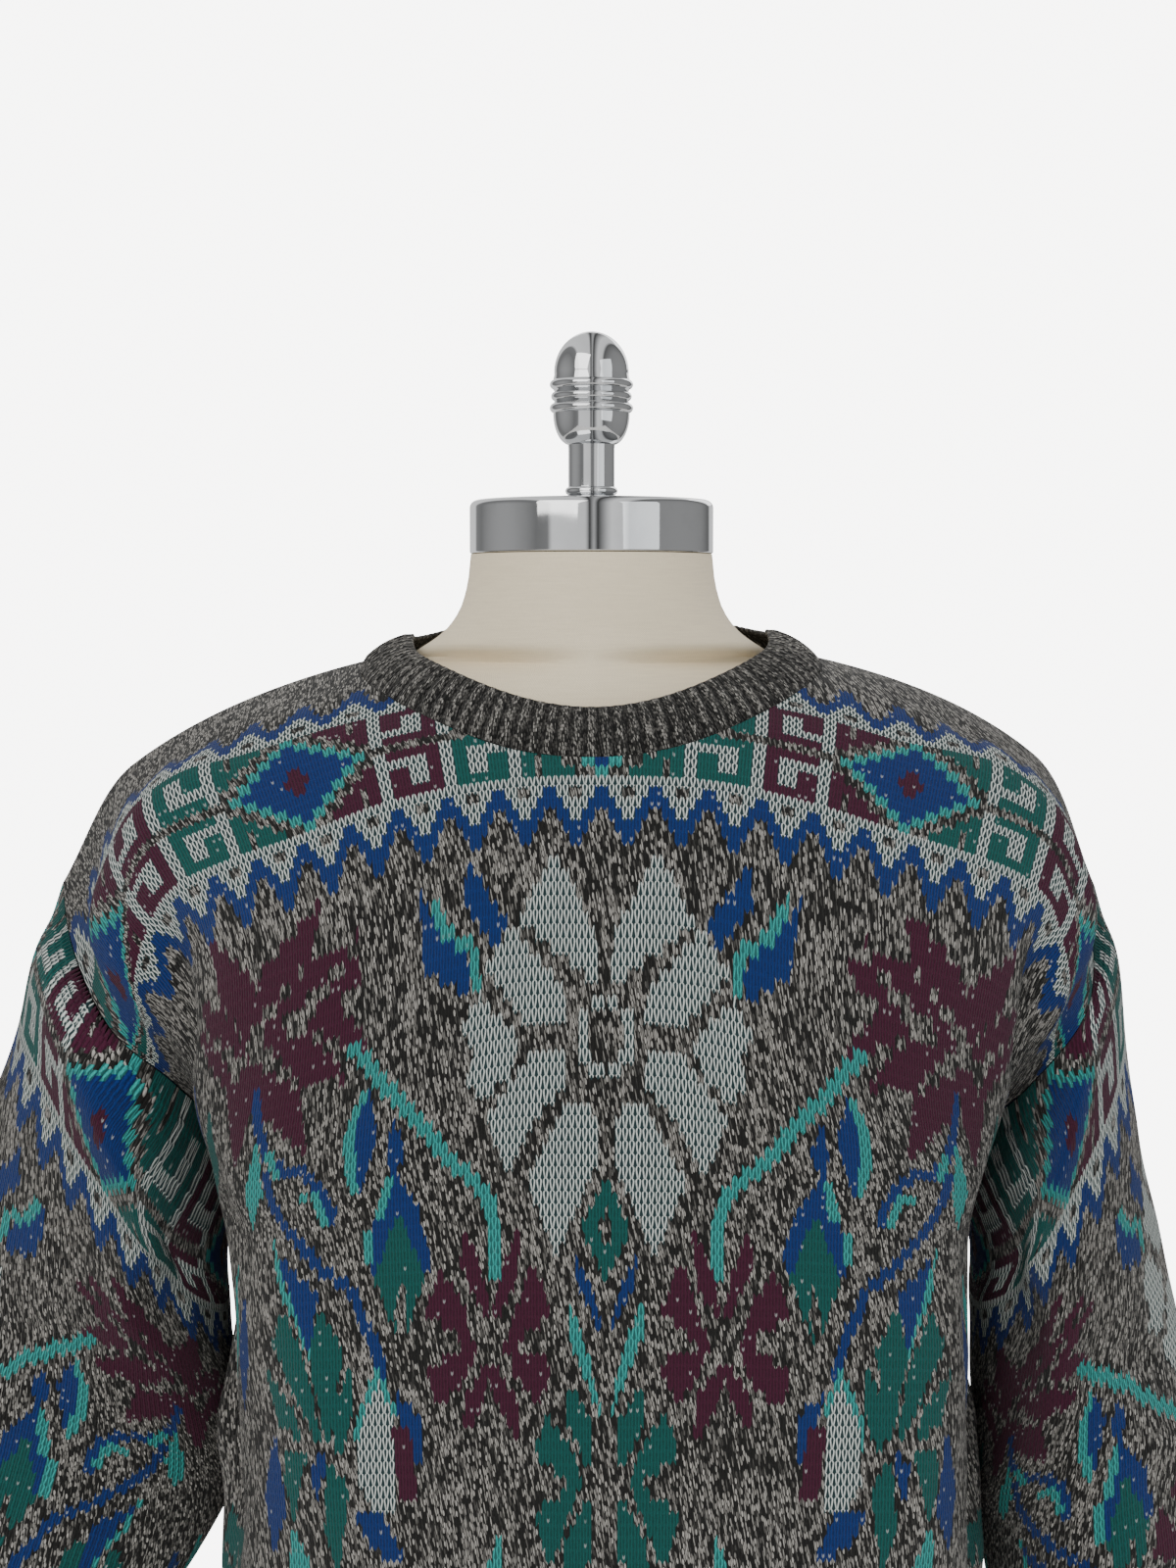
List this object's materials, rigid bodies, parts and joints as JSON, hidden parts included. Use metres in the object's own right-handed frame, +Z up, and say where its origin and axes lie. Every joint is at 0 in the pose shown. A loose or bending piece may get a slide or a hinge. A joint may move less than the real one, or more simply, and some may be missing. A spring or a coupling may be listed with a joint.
{
  "type": "sweater on dress form",
  "caption": "Jacquard knit crew-neck sweater with long sleeves and ribbed edges, worn by a limbless linen dress form on a turned metal stand.",
  "frame": {"origin": "centre of the base's underside, on the floor", "axes": "+Z up along the pole, +X to the viewer's right, the chest faces -Y"},
  "size_m": [0.7851, 0.4, 1.5691],
  "materials": {
    "jacquard_knit": "stranded knit, dark marl ground with white, burgundy, blue, green and aqua motifs",
    "marl_rib": "ribbed knit, dark marl",
    "cream_linen": "stretched linen twill",
    "polished_chrome": "polished"
  },
  "bodies": {
    "root": {"front_panel": "jacquard_knit", "back_panel": "jacquard_knit", "sleeve_left": "jacquard_knit", "sleeve_right": "jacquard_knit", "collar_rib": "marl_rib", "hem_rib": "marl_rib", "cuff_left": "marl_rib", "cuff_right": "marl_rib", "form_body": "cream_linen", "neck_cap": "polished_chrome", "finial": "polished_chrome", "pole": "polished_chrome", "base": "polished_chrome"}
  },
  "joints": []
}
